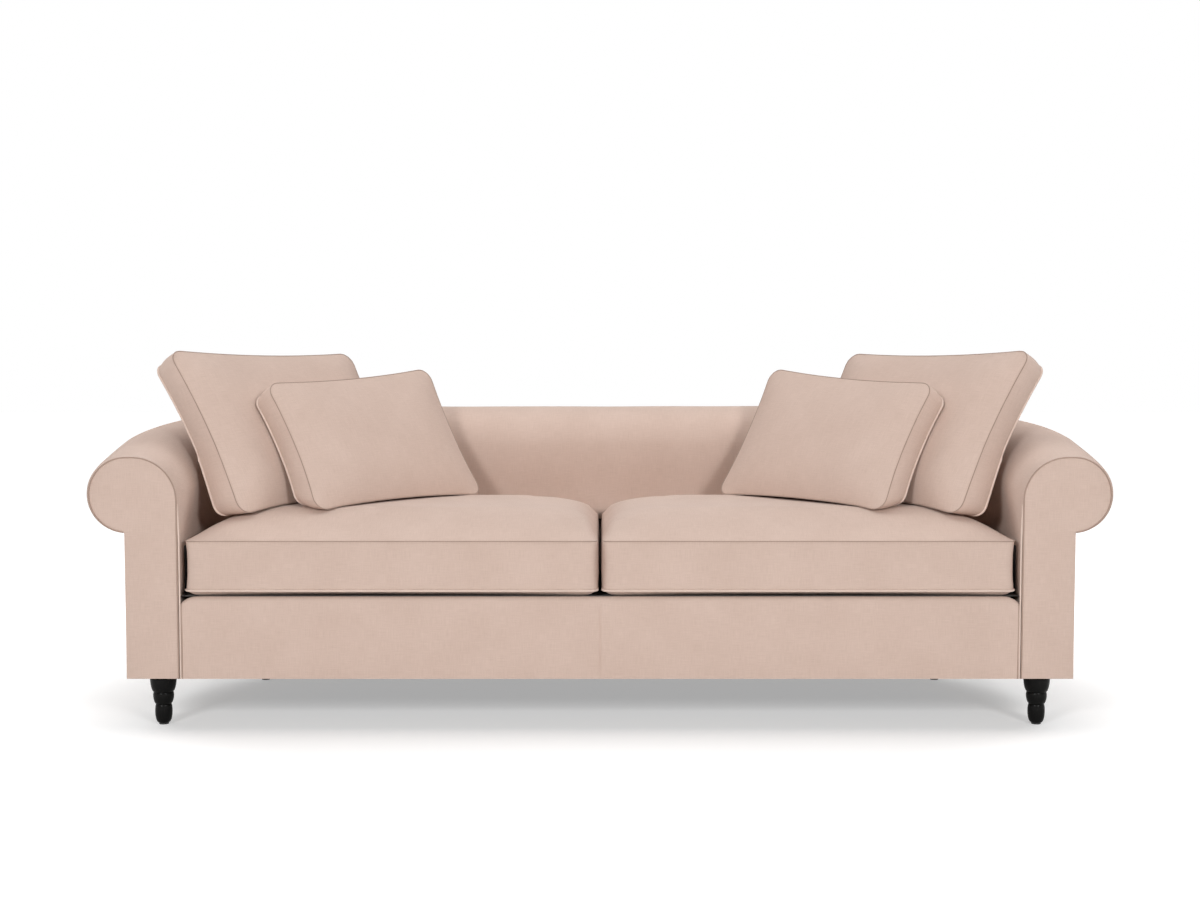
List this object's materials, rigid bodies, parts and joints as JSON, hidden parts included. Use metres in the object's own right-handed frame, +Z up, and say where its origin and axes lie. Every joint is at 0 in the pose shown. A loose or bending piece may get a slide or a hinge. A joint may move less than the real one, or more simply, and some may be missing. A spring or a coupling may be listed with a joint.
{
  "type": "rolled arm sofa",
  "caption": "Low-backed rolled arm sofa whose arms sweep into the back, with loose boxed seat cushions, leaning scatter cushions and turned legs; seats people side by side.",
  "frame": {"origin": "on the floor, in the middle of the width and of the depth", "axes": "+X towards the right-hand arm as seen from the front, +Y towards the back, +Z up; the front faces -Y"},
  "size_m": [2.3, 0.852, 0.8466],
  "materials": {
    "upholstery": "fine plain weave, blush pink, matching piping",
    "foam": "upholstery foam and fibre wrap",
    "lining": "black spun-bonded lining cloth",
    "webbing": "woven elastic webbing",
    "timber": "planed hardwood and plywood, unfinished",
    "leg_lacquer": "turned hardwood, black gloss lacquer",
    "steel": "zinc-plated",
    "glide": "nylon glide"
  },
  "bodies": {
    "frame": {"back_base_rail": "timber", "back_cover": "upholstery", "back_padding": "foam", "back_posts": "timber", "back_top_rail": "timber", "border_padding": "foam", "corner_base_rails": "timber", "corner_seat_rails": "timber", "corner_top_rails": "timber", "deck_cloth": "lining", "deck_padding": "foam", "dust_cover": "lining", "front_border": "upholstery", "front_seat_rail": "timber", "left_arm_base_rail": "timber", "left_arm_cover": "upholstery", "left_arm_facing": "upholstery", "left_arm_padding": "foam", "left_arm_posts": "timber", "left_arm_top_rail": "timber", "left_scroll_board": "timber", "left_side_seat_rail": "timber", "leg_blocks": "timber", "leg_bolts": "steel", "leg_glides": "glide", "leg_nuts": "steel", "legs": "leg_lacquer", "rear_seat_rail": "timber", "right_arm_base_rail": "timber", "right_arm_cover": "upholstery", "right_arm_facing": "upholstery", "right_arm_padding": "foam", "right_arm_posts": "timber", "right_arm_top_rail": "timber", "right_scroll_board": "timber", "right_side_seat_rail": "timber", "seat_braces": "timber", "seat_corner_blocks": "timber", "seat_webbing": "webbing"},
    "left_seat_cushion": {"left_seat_cushion_core": "foam", "left_seat_cushion_cover": "upholstery"},
    "left_large_scatter": {"left_large_scatter_pad": "foam", "left_large_scatter_cover": "upholstery"},
    "left_small_scatter": {"left_small_scatter_pad": "foam", "left_small_scatter_cover": "upholstery"},
    "right_seat_cushion": {"right_seat_cushion_core": "foam", "right_seat_cushion_cover": "upholstery"},
    "right_large_scatter": {"right_large_scatter_pad": "foam", "right_large_scatter_cover": "upholstery"},
    "right_small_scatter": {"right_small_scatter_pad": "foam", "right_small_scatter_cover": "upholstery"}
  },
  "joints": [
    {"name": "left_seat_cushion_lift", "type": "slide", "parent": "frame", "child": "left_seat_cushion", "axis": [0, 0, 1], "range_m": [0, 0.35]},
    {"name": "left_large_scatter_lift", "type": "slide", "parent": "left_seat_cushion", "child": "left_large_scatter", "axis": [0, 0, 1], "range_m": [0, 0.3]},
    {"name": "left_small_scatter_lift", "type": "slide", "parent": "left_large_scatter", "child": "left_small_scatter", "axis": [0, 0, 1], "range_m": [0, 0.3]},
    {"name": "right_seat_cushion_lift", "type": "slide", "parent": "frame", "child": "right_seat_cushion", "axis": [0, 0, 1], "range_m": [0, 0.35]},
    {"name": "right_large_scatter_lift", "type": "slide", "parent": "right_seat_cushion", "child": "right_large_scatter", "axis": [0, 0, 1], "range_m": [0, 0.3]},
    {"name": "right_small_scatter_lift", "type": "slide", "parent": "right_large_scatter", "child": "right_small_scatter", "axis": [0, 0, 1], "range_m": [0, 0.3]}
  ]
}
